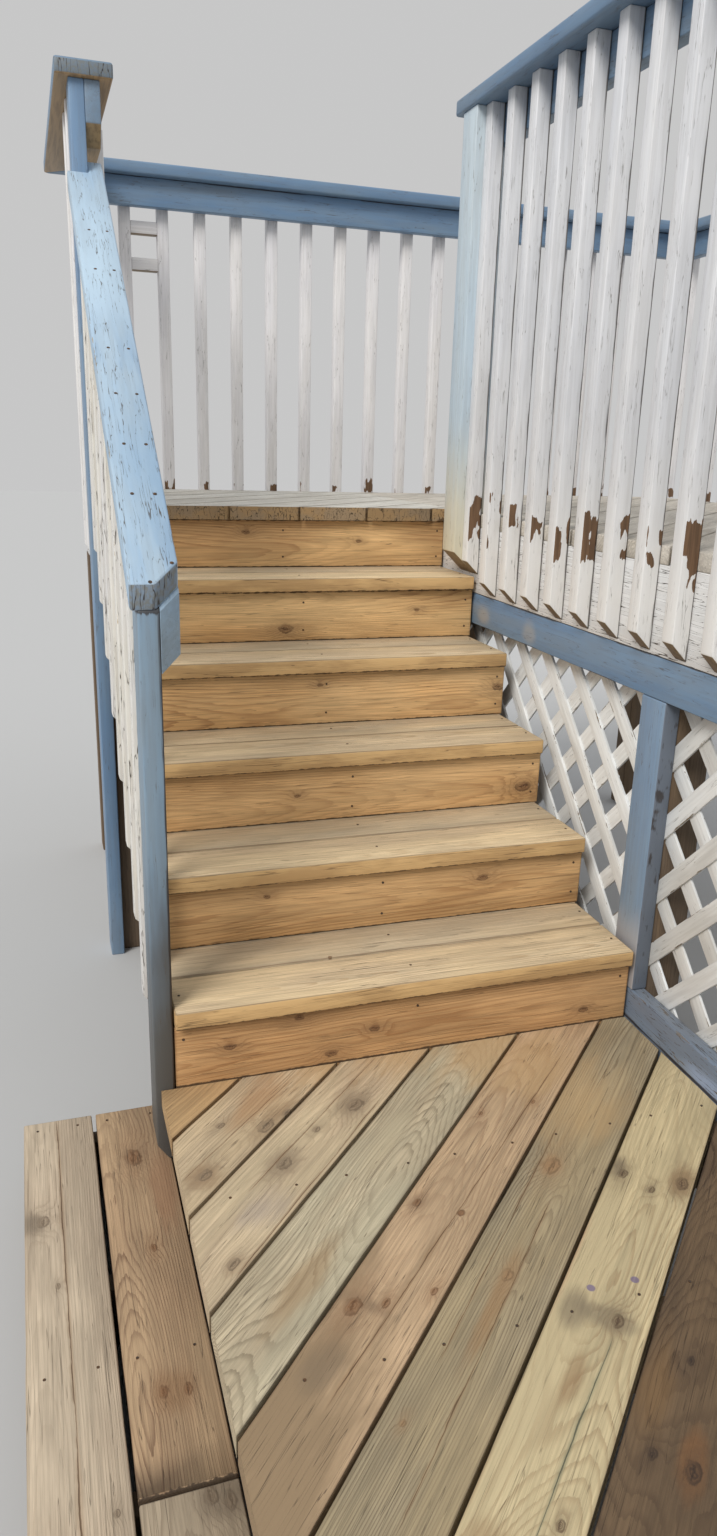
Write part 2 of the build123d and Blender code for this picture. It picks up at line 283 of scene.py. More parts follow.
def share_finishes(piece, timbers, finishes):
    """Gives the timbers of a piece the finishes in turn."""
    mesh = piece.data
    mesh.materials.clear()
    for finish in finishes:
        mesh.materials.append(finish)
    if len(finishes) < 2:
        return
    owner = {}
    points = vertex_points(mesh)
    for solid in loose_timbers(mesh):
        turn = nearest_timber(points[solid], timbers) % len(finishes)
        owner.update((i, turn) for i in solid)
    for face in mesh.polygons:
        face.material_index = owner[face.vertices[0]]


def finish_piece(piece, node):
    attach(piece, "root")
    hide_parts(node)


# Finishes

def paint_value(level):
    """One tone from 0 to 255 as the linear value that the renderer works with."""
    level = level / 255
    return level / 12.92 if level <= 0.04045 else ((level + 0.055) / 1.055) ** 2.4


def colour(red, green, blue):
    return (paint_value(red), paint_value(green), paint_value(blue), 1.0)


class Bench:
    """One node tree, with a short call for each kind of node."""

    def __init__(self, tree):
        self.tree = tree

    def put(self, kind, **settings):
        node = self.tree.nodes.new("ShaderNode" + kind)
        for key, value in settings.items():
            setattr(node, key, value)
        return node

    def feed(self, socket, value):
        """Links a socket, or writes a value into it. Colours are tones from 0 to 255."""
        if isinstance(value, bpy.types.NodeSocket):
            self.tree.links.new(value, socket)
        else:
            socket.default_value = colour(*value) if socket.type == "RGBA" else value

    def calc(self, operation, *values):
        node = self.put("Math", operation=operation)
        for socket, value in zip(node.inputs, values):
            self.feed(socket, value)
        return node.outputs[0]

    def add(self, a, b):
        return self.calc("ADD", a, b)

    def take(self, a, b):
        return self.calc("SUBTRACT", a, b)

    def times(self, a, b):
        return self.calc("MULTIPLY", a, b)

    def span(self, along, across):
        """How far a point is from the middle, by its distances along and across."""
        return self.calc("SQRT", self.add(self.calc("POWER", along, 2), self.calc("POWER", across, 2)))

    def swell(self, distance, rate):
        """A round swelling, one in the middle and less with distance."""
        return self.calc("EXPONENT", self.times(self.calc("POWER", distance, 2), -rate))

    def swing(self, value, amount):
        """A noise about its own middle, times an amount."""
        return self.times(self.take(value, 0.5), amount)

    def vector(self, operation, a, b=None):
        node = self.put("VectorMath", operation=operation)
        self.feed(node.inputs[0], a)
        if b is not None:
            self.feed(node.inputs[1], b)
        return node.outputs["Value" if operation in ("LENGTH", "DOT_PRODUCT") else "Vector"]

    def split(self, vector):
        node = self.put("SeparateXYZ")
        self.feed(node.inputs[0], vector)
        return node.outputs[0], node.outputs[1], node.outputs[2]

    def join(self, x, y, z):
        node = self.put("CombineXYZ")
        for socket, value in zip(node.inputs, (x, y, z)):
            self.feed(socket, value)
        return node.outputs[0]

    def ease(self, value, low, high, start=0.0, end=1.0):
        """A smooth step from start to end as value goes from low to high."""
        node = self.put("MapRange", interpolation_type="SMOOTHSTEP")
        for title, given in (("Value", value), ("From Min", low), ("From Max", high),
                             ("To Min", start), ("To Max", end)):
            self.feed(node.inputs[title], given)
        return node.outputs[0]

    def crease(self, value, wide, narrow, start=0.0, end=1.0):
        """Thin lines where a noise passes its own middle."""
        return self.ease(self.calc("ABSOLUTE", self.take(value, 0.5)), wide, narrow, start, end)

    def noise(self, place, stretch, detail=2.0, rough=0.5, twist=0.0):
        node = self.put("TexNoise")
        self.feed(node.inputs["Vector"], self.vector("MULTIPLY", place, stretch))
        node.inputs["Scale"].default_value = 1.0
        node.inputs["Detail"].default_value = detail
        node.inputs["Roughness"].default_value = rough
        node.inputs["Distortion"].default_value = twist
        return node.outputs[0]

    def blend(self, amount, under, over, how="MIX"):
        node = self.put("Mix", data_type="RGBA", blend_type=how)
        self.feed(node.inputs["Factor"], amount)
        self.feed(node.inputs[6], under)
        self.feed(node.inputs[7], over)
        return node.outputs[2]

    def attribute(self, title):
        return self.put("Attribute", attribute_name=title).outputs["Vector"]

    def darken_joints(self, body, place, joints, ragged):
        """Dark lines where pieces meet, each in a plane given by its direction and distance; some are
        painted contact shade.
        """
        for direction, distance, width in joints:
            level = self.vector("DOT_PRODUCT", place, direction)
            off = self.calc("ABSOLUTE", self.take(level, distance))
            spread = self.times(width, self.ease(ragged, 0.35, 0.65, 0.5, 1.3))
            line = self.ease(self.calc("DIVIDE", off, spread), 1.0, 0.45, 0.0, 0.85)
            body = self.blend(line, body, crack_and_shade_brown)
        return body

    def emboss(self, shader, height, strength, depth):
        """Gives a finish its relief."""
        bump = self.put("Bump")
        bump.inputs["Strength"].default_value = strength
        bump.inputs["Distance"].default_value = depth
        self.feed(bump.inputs["Height"], height)
        self.feed(shader.inputs["Normal"], bump.outputs[0])


def new_group(name, inputs, outputs):
    tree = bpy.data.node_groups.new(name, "ShaderNodeTree")
    for title, kind, value in inputs:
        socket = tree.interface.new_socket(title, in_out="INPUT", socket_type="NodeSocket" + kind)
        if value is not None:
            socket.default_value = value
    for title in outputs:
        tree.interface.new_socket(title, in_out="OUTPUT", socket_type="NodeSocketFloat")
    bench = Bench(tree)
    entry = tree.nodes.new("NodeGroupInput")
    leave = tree.nodes.new("NodeGroupOutput")
    return tree, bench, entry.outputs, leave.inputs


def use_group(bench, tree, **given):
    node = bench.put("Group", node_tree=tree)
    for title, value in given.items():
        bench.feed(node.inputs[title.replace("_", " ")], value)
    return node.outputs


def make_knot_group():
    """One knot on the wide face and the stain that spreads from it, added to those before it."""
    tree, b, given, out = new_group(
        "knot",
        [("Place", "Vector", None), ("Centre", "Vector", None), ("Size", "Float", 0.01),
         ("Ragged", "Float", 0.5), ("Bulge", "Float", 0.0), ("Core", "Float", 0.0),
         ("Rim", "Float", 0.0), ("Stain", "Float", 0.0)],
        ["Bulge", "Core", "Rim", "Stain"])
    x, y = b.split(b.vector("SUBTRACT", given["Place"], given["Centre"]))[:2]
    shake = b.take(given["Ragged"], 0.5)
    span = b.span(b.times(x, 0.66), y)
    rings = b.add(b.calc("DIVIDE", span, given["Size"]), b.times(shake, 1.3))
    swell = b.times(b.swell(rings, 0.16), b.times(given["Size"], 1.5))
    b.feed(out["Bulge"], b.add(given["Bulge"], swell))
    ripple = b.calc("ABSOLUTE", b.take(b.calc("FRACT", b.times(rings, 2.6)), 0.5))
    core = b.times(b.ease(ripple, 0.1, 0.4, 0.45, 1.0), b.ease(rings, 1.1, 0.5))
    b.feed(out["Core"], b.calc("MAXIMUM", given["Core"], core))
    heart = b.add(b.calc("DIVIDE", y, given["Size"]), b.times(shake, 1.8))
    cleft = b.times(b.ease(b.calc("ABSOLUTE", heart), 0.26, 0.06), b.ease(rings, 0.95, 0.6))
    rim = b.times(b.times(b.ease(rings, 0.66, 0.95), b.ease(rings, 1.3, 1.0)),
                  b.ease(heart, 0.9, -0.9, 0.35, 1.0))
    b.feed(out["Rim"], b.calc("MAXIMUM", given["Rim"], b.calc("MAXIMUM", rim, cleft)))
    halo = b.span(b.times(x, 0.3), b.times(y, 0.8))
    fade = b.add(b.calc("DIVIDE", halo, given["Size"]), b.times(shake, 1.8))
    b.feed(out["Stain"], b.calc("MAXIMUM", given["Stain"], b.swell(fade, 0.3)))
    return tree


def make_split_group():
    """A drying split that runs along a board between two places on its wide face."""
    tree, b, given, out = new_group(
        "split",
        [("Place", "Vector", None), ("Start", "Vector", None), ("End", "Vector", None),
         ("Width", "Float", 0.002), ("Before", "Float", 0.0)],
        ["Line", "Stain"])
    x, y = b.split(given["Place"])[:2]
    from_x, from_y = b.split(given["Start"])[:2]
    to_x, to_y = b.split(given["End"])[:2]
    share = b.calc("DIVIDE", b.take(x, from_x), b.take(to_x, from_x))
    sway = b.noise(b.join(x, 0.0, from_y), (7, 1, 31), 4, 0.65)
    middle = b.add(b.add(from_y, b.times(share, b.take(to_y, from_y))), b.swing(sway, 0.009))
    off = b.calc("ABSOLUTE", b.take(y, middle))
    inside = b.times(b.ease(share, -0.02, 0.06), b.ease(share, 1.02, 0.94))
    width = b.times(given["Width"], b.ease(sway, 0.35, 0.65, 0.4, 1.5))
    widths_off = b.calc("DIVIDE", off, width)
    line = b.times(b.ease(widths_off, 1.0, 0.45), inside)
    b.feed(out["Line"], b.calc("MAXIMUM", given["Before"], line))
    b.feed(out["Stain"], b.times(b.ease(widths_off, 6.0, 0.5), inside))
    return tree


def make_grain_group():
    """Growth rings round a pith line under the wide face, with fibres, small knots and hair cracks."""
    tree, b, given, out = new_group(
        "timber grain",
        [("Place", "Vector", None), ("Lot", "Vector", None), ("Ragged", "Float", 0.5),
         ("Ring width", "Float", 0.005), ("Slope", "Float", 0.03), ("Wander", "Float", 0.05),
         ("Knots", "Float", 0.3), ("Knot size", "Float", 0.009), ("Bulge", "Float", 0.0),
         ("Core", "Float", 0.0), ("Rim", "Float", 0.0)],
        ["Rings", "Fibre", "Knot", "Rim", "Hair", "Cloud", "Blot", "Streak"])
    place, lot = given["Place"], given["Lot"]
    x, y, z = b.split(place)
    u, v = b.split(lot)[:2]
    far = b.vector("ADD", place, b.vector("MULTIPLY", lot, (50.0, 70.0, 30.0)))
    sway = b.noise(far, (1.3, 4, 4), 1)
    heave = b.noise(b.vector("ADD", far, (9.0, 3.0, 5.0)), (1.6, 5, 5), 1)
    side = b.add(b.take(y, b.swing(u, 0.11)), b.swing(sway, given["Wander"]))
    depth = b.add(b.add(z, b.add(0.03, b.times(v, 0.08))),
                  b.add(b.times(x, given["Slope"]), b.swing(heave, given["Wander"])))
    radius = b.span(side, depth)
    # small knots, at most one to each stretch 0.4 m long
    cell = (2.5, 6.2, 0.0)
    shifted = b.vector("ADD", place, b.vector("MULTIPLY", lot, (13.0, 7.0, 0.0)))
    cells = b.put("TexVoronoi", voronoi_dimensions="2D")
    b.feed(cells.inputs["Vector"], b.vector("MULTIPLY", shifted, cell))
    cells.inputs["Scale"].default_value = 1.0
    centre = b.vector("DIVIDE", cells.outputs["Position"], (cell[0], cell[1], 1.0))
    knot_x, knot_y = b.split(b.vector("SUBTRACT", shifted, centre))[:2]
    red, green = b.split(cells.outputs["Color"])[:2]
    here = b.calc("LESS_THAN", red, given["Knots"])
    size = b.times(given["Knot size"], b.add(0.35, green))
    span = b.span(b.times(knot_x, 0.75), knot_y)
    rings = b.add(b.calc("DIVIDE", span, size), b.swing(given["Ragged"], 1.3))
    swell = b.times(here, b.swell(rings, 0.16))
    bulge = b.add(given["Bulge"], b.times(swell, b.times(size, 1.5)))
    core = b.calc("MAXIMUM", given["Core"], b.times(here, b.ease(rings, 1.1, 0.75)))
    rim = b.calc("MAXIMUM", given["Rim"],
                 b.times(here, b.times(b.ease(rings, 0.6, 0.95), b.ease(rings, 1.5, 1.02))))
    # growth rings: a thin dark line at the end of each year
    cloud = b.noise(far, (2.0, 8, 8), 3, 0.55)
    fibre = b.noise(far, (7, 230, 230), 2, 0.6)
    streak = b.noise(far, (2.6, 62, 50), 4, 0.65)
    phase = b.add(b.calc("DIVIDE", b.add(radius, bulge), given["Ring width"]), b.swing(streak, 1.2))
    turn = b.calc("FRACT", phase)
    late = b.times(b.ease(turn, 0.5, 0.93), b.ease(turn, 1.0, 0.95))
    strength = b.times(b.ease(cloud, 0.36, 0.62, 0.35, 1.0), b.ease(fibre, 0.3, 0.6, 0.55, 1.0))
    b.feed(out["Rings"], b.times(late, strength))
    b.feed(out["Fibre"], fibre)
    b.feed(out["Knot"], core)
    b.feed(out["Rim"], rim)
    b.feed(out["Cloud"], cloud)
    b.feed(out["Streak"], streak)
    # hair cracks along the grain, in patches
    sheet = b.noise(b.vector("ADD", far, (3.0, 8.0, 1.0)), (2.4, 150, 110), 1.5, 0.5, 0.1)
    blot = b.noise(b.vector("ADD", far, (7.0, 2.0, 4.0)), (4.0, 17, 17), 4, 0.62)
    line = b.crease(sheet, 0.010, 0.001)
    b.feed(out["Hair"], b.times(line, b.ease(blot, 0.34, 0.6, 0.15, 0.85)))
    b.feed(out["Blot"], blot)
    return tree


def make_edge_group():
    """How far a point is from the timber's nearest edge."""
    tree, b, given, out = new_group("timber edges", [("Place", "Vector", None), ("Half", "Vector", None)],
                                    ["Edge"])
    x, y, z = b.split(b.vector("SUBTRACT", given["Half"], b.vector("ABSOLUTE", given["Place"])))
    most = b.calc("MAXIMUM", b.calc("MAXIMUM", x, y), z)
    least = b.calc("MINIMUM", b.calc("MINIMUM", x, y), z)
    b.feed(out["Edge"], b.take(b.take(b.add(b.add(x, y), z), most), least))
    return tree


def make_paint_group():
    """Where old paint has come off, where it has split along the grain, and its relief."""
    tree, b, given, out = new_group(
        "old paint",
        [("Place", "Vector", None), ("Lot", "Vector", None), ("Edge", "Float", 0.01),
         ("Wear", "Float", 0.3), ("Edge wear", "Float", 0.3), ("Extra", "Float", 0.0),
         ("Splits", "Float", 0.5), ("Crazing", "Float", 0.0)],
        ["Bare", "Split", "Cloud", "Fibre", "Relief"])
    far = b.vector("ADD", given["Place"], b.vector("MULTIPLY", given["Lot"], (40.0, 30.0, 20.0)))
    cloud = b.noise(b.vector("ADD", far, (5.0, 1.0, 7.0)), (1.8, 9, 9), 4, 0.6)
    flake = b.noise(far, (13, 62, 62), 4, 0.65)
    corner = b.times(b.ease(given["Edge"], 0.006, 0.0), given["Edge wear"])
    push = b.add(b.add(flake, b.times(corner, 0.3)), given["Extra"])
    limit = b.take(1.0, b.times(given["Wear"], 0.5))
    bare = b.ease(b.take(push, limit), -0.004, 0.008)
    b.feed(out["Bare"], bare)
    sheet = b.noise(far, (7, 135, 135), 2, 0.5, 0.15)
    gate = b.times(given["Crazing"], 0.14)
    split = b.times(b.crease(sheet, 0.014, 0.003),
                    b.ease(flake, b.take(0.48, gate), b.take(0.6, gate)))
    b.feed(out["Split"], b.times(split, given["Splits"]))
    b.feed(out["Cloud"], cloud)
    b.feed(out["Fibre"], sheet)
    b.feed(out["Relief"], b.take(b.add(b.times(sheet, 0.3), b.take(1.0, bare)), b.times(split, 0.5)))
    return tree


knot_group = make_knot_group()
split_group = make_split_group()
grain_group = make_grain_group()
edge_group = make_edge_group()
paint_group = make_paint_group()

# The directions along and across the boards, for each way that they run
lengthwise = {"x": ((1, 0, 0), (0, 1, 0)), "y": ((0, 1, 0), (-1, 0, 0)), "riser": ((1, 0, 0), (0, 0, 1)),
              "diagonal": ((math.sqrt(0.5), math.sqrt(0.5), 0), (-math.sqrt(0.5), math.sqrt(0.5), 0))}
# Brown of cracks and splits, also of the dark joint lines, some of which are painted shade
crack_and_shade_brown = (46, 34, 24)


def new_finish(name):
    finish = bpy.data.materials.new(name)
    finish.use_nodes = True
    shader = finish.node_tree.nodes["Principled BSDF"]
    return finish, Bench(finish.node_tree), shader


def bare_timber(name, main, patch, line, knot, patches=0.6, lines=0.45, ring=0.006, slope=0.03, wander=0.05,
                knots=0.1, knot_size=0.007, run="diagonal", marks=(), splits=(), spots=(), cracks=0.7,
                seam=0.5, side=None, end_cracks=0.0, joints=()):
    """Uncoated softwood with rings, patches and hair cracks. Marks are knots, splits long cracks and
    spots coloured patches, each at its place along and across the run of the boards: mostly stain
    marks, and on the pink board's lower end painted shade. Seam is how dark the edges are, side the
    tone of faces that don't look up, end_cracks how cracked these are, and joints are dark lines,
    some of them painted shade."""
    finish, b, shader = new_finish(name)
    place, half, lot = (b.attribute(title) for title in ("grain", "half size", "lot"))
    seat = b.put("TexCoord")
    along, across = lengthwise[run]
    where = b.join(b.vector("DOT_PRODUCT", seat.outputs["Object"], along),
                   b.vector("DOT_PRODUCT", seat.outputs["Object"], across), 0.0)
    ragged = b.noise(place, (55, 95, 55), 3, 0.6)
    bulge = core = rim = stain = 0.0
    for mark in marks:
        knotted = use_group(b, knot_group, Place=where, Centre=(mark[0], mark[1], 0.0), Size=mark[2],
                            Ragged=ragged, Bulge=bulge, Core=core, Rim=rim, Stain=stain)
        bulge, core, rim, stain = (knotted[title] for title in ("Bulge", "Core", "Rim", "Stain"))
    grain = use_group(b, grain_group, Place=place, Lot=lot, Ragged=ragged, Ring_width=ring, Slope=slope,
                      Wander=wander, Knots=knots, Knot_size=knot_size, Bulge=bulge, Core=core, Rim=rim)
    edges = use_group(b, edge_group, Place=place, Half=half)
    wood = b.blend(b.times(b.ease(grain["Cloud"], 0.36, 0.64), patches), main, patch)
    blots = b.ease(grain["Blot"], 0.35, 0.7, 0.9, 1.12)
    fibres = b.times(b.ease(grain["Fibre"], 0.28, 0.72, 0.87, 1.12),
                     b.ease(grain["Streak"], 0.32, 0.68, 0.95, 1.05))
    shade = b.times(blots, fibres)
    wood = b.blend(1.0, wood, b.join(shade, shade, shade), "MULTIPLY")
    wood = b.blend(b.times(grain["Rings"], lines), wood, line)
    for along_place, across_place, length, width, tone, strength in spots:
        gap = b.vector("MULTIPLY", b.vector("SUBTRACT", where, (along_place, across_place, 0.0)),
                       (1 / length, 1 / width, 0.0))
        raggedness, sharpness = (2.2, 0.3) if width > 0.01 else (0.3, 0.9)
        blur = b.add(b.vector("LENGTH", gap), b.swing(grain["Blot"], raggedness))
        wood = b.blend(b.ease(blur, 1.3, sharpness, 0.0, strength), wood, tone)
    if marks:
        wood = b.blend(b.times(stain, 0.55), wood, b.blend(0.3, knot, main))
    wood = b.blend(b.times(grain["Knot"], 0.75), wood, knot)
    wood = b.blend(b.times(grain["Rim"], 0.7), wood, b.blend(0.45, knot, crack_and_shade_brown))
    wood = b.blend(b.times(grain["Hair"], cracks), wood, crack_and_shade_brown)
    gaps = 0.0
    for start, end, width, tone in splits:
        opened = use_group(b, split_group, Place=where, Start=(*start, 0.0), End=(*end, 0.0), Width=width,
                           Before=gaps)
        gaps = opened["Line"]
        wood = b.blend(b.times(opened["Stain"], 0.35), wood, tone)
    if splits:
        wood = b.blend(b.times(gaps, 0.8), wood, b.blend(0.6, tone, crack_and_shade_brown))
    worn = b.ease(edges["Edge"], 0.0045, 0.0005)
    wood = b.blend(b.times(worn, seam), wood, b.blend(0.55, line, crack_and_shade_brown))
    if side:
        rise = b.split(seat.outputs["Normal"])[2]
        cut = b.blend(b.times(b.ease(grain["Blot"], 0.4, 0.6), 0.5), side, line)
        if end_cracks:
            shades = b.ease(b.split(lot)[1], 0.0, 1.0, 0.74, 1.1)
            cut = b.blend(1.0, cut, b.join(shades, shades, shades), "MULTIPLY")
            cleft = b.noise(b.vector("MULTIPLY", seat.outputs["Object"], (1.0, 1.0, 0.45)),
                            (70, 70, 70), 2, 0.6, 0.7)
            cut = b.blend(b.crease(cleft, 0.022, 0.004, 0.0, end_cracks), cut, crack_and_shade_brown)
        cut = b.blend(b.times(grain["Hair"], 0.7), cut, crack_and_shade_brown)
        wood = b.blend(b.ease(rise, 0.6, 0.4), wood, cut)
    wood = b.darken_joints(wood, seat.outputs["Object"], joints, ragged)
    b.feed(shader.inputs["Base Color"], wood)
    b.feed(shader.inputs["Roughness"], b.ease(grain["Rings"], 0.0, 1.0, 0.85, 0.67))
    relief = b.add(b.times(grain["Rings"], 0.4), b.times(grain["Fibre"], 0.5))
    relief = b.take(relief, b.times(grain["Hair"], 1.2))
    if splits:
        relief = b.take(relief, b.times(gaps, 2.0))
    b.emboss(shader, relief, 0.6, 0.0012)
    return finish


def painted_timber(name, coat, faded, wood, wear=0.26, edge_wear=0.5, splits=0.6, dirt=(108, 100, 88),
                   dirty=0.2, chips=None, foot=None, raw_under=None, worn_end=None, stains_and_sun_patches=(), crazing=0.0,
                   front=None, joints=()):
    """Painted softwood. Wear and edge_wear are how much paint has come off, splits how deeply it has
    split along the grain and crazing how far the splits have spread. Chips is a height round which
    paint has come off in patches, foot a stretch over which it gives way to another tone (painted
    shade at the newel's foot, painted light on the lower part of the right balusters), raw_under
    the bare wood of faces that look down, worn_end the grey of cracked ends that look to the front,
    stains are blotches on side faces (on the band painted light), front is a darker tone of painted
    shade, with dark flakes, on faces that look to the front and joints are dark lines, some of them
    painted shade."""
    finish, b, shader = new_finish(name)
    place, half, lot = (b.attribute(title) for title in ("grain", "half size", "lot"))
    edges = use_group(b, edge_group, Place=place, Half=half)
    seat = b.put("TexCoord")
    x, y, z = b.split(seat.outputs["Object"])
    ny, nz = b.split(seat.outputs["Normal"])[1:]
    extra = 0.0
    if chips:
        height, spread, push = chips
        u, v = b.split(lot)[:2]
        blob = b.noise(b.vector("ADD", place, b.vector("MULTIPLY", lot, (30, 20, 10))), (11, 34, 34), 2)
        middle = b.add(height, b.times(b.take(u, 0.6), spread * 0.6))
        off = b.calc("DIVIDE", b.calc("ABSOLUTE", b.take(z, middle)),
                     b.add(spread * 0.5, b.times(v, spread)))
        round_it = b.times(b.ease(off, 1.1, 0.4), b.ease(ny, -0.4, -0.8))
        extra = b.times(b.times(round_it, push), b.ease(blob, 0.36, 0.6))
    coat_group = use_group(b, paint_group, Place=place, Lot=lot, Edge=edges["Edge"], Wear=wear,
                           Edge_wear=edge_wear, Extra=extra, Splits=splits, Crazing=crazing)
    cloud = coat_group["Cloud"]
    body = b.blend(b.ease(cloud, 0.36, 0.62), coat, faded)
    body = b.blend(b.ease(coat_group["Fibre"], 0.3, 0.75, 0.0, 0.16), body, dirt)
    body = b.blend(b.ease(cloud, 0.52, 0.72, 0.0, dirty), body, dirt)
    # Towards the foot another tone takes over: painted shade on the newel, painted light on the right
    # balusters, a change of tone elsewhere
    if foot:
        low, high, tone, most = foot
        ragged = b.add(z, b.swing(cloud, (high - low) * 1.4))
        body = b.blend(b.ease(ragged, high, low, 0.0, most), body, tone)
    # Soft blotches of another tone: worn paint on the base board, painted light on the band
    for spot_y, spot_z, length, height, tone, strength in stains_and_sun_patches:
        gap = b.vector("MULTIPLY", b.vector("SUBTRACT", seat.outputs["Object"], (0.0, spot_y, spot_z)),
                       (0.0, 1 / length, 1 / height))
        blur = b.add(b.vector("LENGTH", gap), b.swing(cloud, 3.0))
        body = b.blend(b.ease(blur, 1.3, 0.4, 0.0, strength), body, tone)
    # Faces that look to the front get a darker tone: painted shade, with dark flakes in it
    if front:
        blotch = b.noise(seat.outputs["Object"], (40, 40, 17), 3, 0.6)
        front_shade = b.blend(b.ease(blotch, 0.56, 0.66, 0.0, 0.8), front, crack_and_shade_brown)
        body = b.blend(b.ease(ny, -0.6, -0.8), body, front_shade)
    body = b.blend(coat_group["Split"], body, b.blend(0.5 + crazing * 0.4, dirt, crack_and_shade_brown))
    timber = b.blend(b.ease(coat_group["Fibre"], 0.35, 0.65), wood, b.blend(0.4, wood, crack_and_shade_brown))
    body = b.blend(coat_group["Bare"], body, timber)
    if worn_end:
        cleft = b.noise(b.join(x, y, b.times(z, 0.12)), (84, 84, 84), 2.0, 0.55, 0.3)
        cracked = b.crease(cleft, 0.028, 0.008)
        mottle = b.blend(b.ease(coat_group["Fibre"], 0.35, 0.65), worn_end, b.blend(0.35, worn_end, coat))
        looks_out = b.times(b.ease(nz, 0.4, 0.2), b.ease(ny, -0.45, -0.6))
        body = b.blend(looks_out, body, b.blend(b.times(cracked, 0.9), mottle, crack_and_shade_brown))
    if raw_under:
        grained = b.blend(b.ease(coat_group["Fibre"], 0.4, 0.7), raw_under,
                          b.blend(0.35, raw_under, crack_and_shade_brown))
        body = b.blend(b.ease(nz, -0.35, -0.6), body, grained)
    body = b.darken_joints(body, seat.outputs["Object"], joints, coat_group["Fibre"])
    b.feed(shader.inputs["Base Color"], body)
    b.feed(shader.inputs["Roughness"], b.ease(coat_group["Bare"], 0.0, 1.0, 0.5, 0.85))
    b.emboss(shader, coat_group["Relief"], 0.5, 0.0008)
    return finish


brown_knot = (120, 80, 48)
grey_knot = (124, 106, 86)
dark_stain = (100, 88, 74)
earth_stain = (134, 100, 66)
golden = (192, 158, 112)

# The risers and treads: fresh honey-coloured wood, the treads greyer on top
riser_knots = [((-0.837, 0.443, 0.007), (-0.979, 0.398, 0.007), (-0.676, 0.391, 0.007),
                (-0.768, 0.348, 0.008), (-0.186, 0.359, 0.007)),
               ((-0.336, 0.591, 0.008), (-0.85, 0.60, 0.005)),
               ((-0.123, 0.719, 0.012), (-0.72, 0.74, 0.005)),
               ((-0.096, 0.925, 0.010), (-0.60, 0.95, 0.005)),
               ((-0.632, 1.054, 0.011), (-0.25, 1.10, 0.005)),
               ((-0.692, 1.295, 0.007), (-0.35, 1.27, 0.005))]
riser_knot = (92, 56, 32)
riser_tones = [((200, 158, 110), (178, 136, 90)), ((208, 168, 118), (184, 142, 92)),
               ((220, 180, 128), (194, 150, 98)), ((226, 188, 136), (204, 160, 106)),
               ((226, 188, 134), (200, 156, 102)), ((216, 178, 126), (190, 148, 100))]
# The dark lines along each riser's bottom and top edges are painted shade where it meets the treads
riser_wood = [
    bare_timber(
        f"riser wood {n + 1}", main, patch, (140, 92, 50), riser_knot, patches=0.7, lines=0.55,
        ring=0.0044, slope=0.012 + 0.008 * (n % 3), wander=0.035, knots=0.0, run="riser", marks=marks,
        cracks=0.6,
        joints=((Z, max(landing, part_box(f"riser_{n + 1}")[0].z), 0.0042),
                (Z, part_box(f"riser_{n + 1}")[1].z, 0.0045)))
    for n, ((main, patch), marks) in enumerate(zip(riser_tones, riser_knots))]
# Dark lines at the foot of the tread fronts: painted shadow under the nosings
nosing_shadow_lines = tuple((Z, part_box(f"tread_{k + 1}")[0].z, 0.0045) for k in range(5))
tread_wood = [
    bare_timber(
        "tread front wood", (223, 198, 158), (206, 184, 152), (158, 122, 80), brown_knot, patches=0.8,
        lines=0.5, ring=0.005, slope=0.02, wander=0.04, knot_size=0.005, run="x", cracks=0.9, seam=0.85,
        side=(212, 175, 122), joints=nosing_shadow_lines),
    bare_timber(
        "tread back wood", (206, 182, 146), (188, 172, 146), (148, 120, 86), brown_knot, patches=0.8,
        ring=0.005, slope=0.02, wander=0.04, knot_size=0.005, run="x", cracks=0.9, seam=0.85)]

# The landing boards, each with its own tone, knots, stains and splits; the pink board also has painted
# shade
first_board = bare_timber(
    "first board", (182, 150, 108), (166, 136, 98), (120, 90, 58), grey_knot, lines=0.6, ring=0.0042,
    slope=0.01, knots=0.0, cracks=0.6)
tan_board = bare_timber(
    "tan board", (198, 176, 142), (178, 159, 134), (126, 102, 76), grey_knot, ring=0.005, wander=0.07,
    cracks=0.65,
    marks=((-1.162, 0.170, 0.012), (-1.110, 0.157, 0.007), (-1.331, 0.190, 0.010),
           (-1.204, 0.245, 0.006)),
    spots=((-1.115, 0.170, 0.085, 0.024, earth_stain, 0.6),
           (-1.331, 0.190, 0.035, 0.030, earth_stain, 0.6),
           (-1.09, 0.22, 0.10, 0.05, (172, 132, 92), 0.6), (-0.92, 0.18, 0.13, 0.10, golden, 0.6)),
    splits=(((-1.36, 0.215), (-1.02, 0.205), 0.0006, earth_stain),
            ((-1.20, 0.130), (-0.80, 0.150), 0.0006, earth_stain)))
knotty_board = bare_timber(
    "knotty board", (197, 178, 146), (184, 161, 136), (130, 108, 84), grey_knot, cracks=0.65,
    marks=((-1.024, 0.055, 0.013), (-1.235, 0.086, 0.011), (-1.126, 0.083, 0.006),
           (-1.474, 0.031, 0.008)),
    spots=((-1.024, 0.055, 0.05, 0.030, grey_knot, 0.6), (-1.235, 0.086, 0.045, 0.026, grey_knot, 0.5),
           (-1.36, 0.055, 0.07, 0.035, (152, 140, 134), 0.5),
           (-1.474, 0.031, 0.03, 0.02, earth_stain, 0.4), (-0.80, 0.05, 0.14, 0.09, golden, 0.6)),
    splits=(((-1.50, 0.012), (-0.98, 0.020), 0.0006, earth_stain),
            ((-1.33, 0.100), (-0.86, 0.092), 0.0006, earth_stain)))
greenish_board = bare_timber(
    "greenish board", (180, 169, 143), (187, 167, 138), (110, 98, 76), grey_knot, lines=0.6,
    ring=0.0045, wander=0.14, slope=0.05, knot_size=0.005,
    spots=((-1.44, -0.08, 0.10, 0.03, (152, 120, 80), 0.45), (-0.72, -0.09, 0.16, 0.09, golden, 0.6),
           (-1.10, -0.05, 0.10, 0.02, (190, 176, 146), 0.5)))
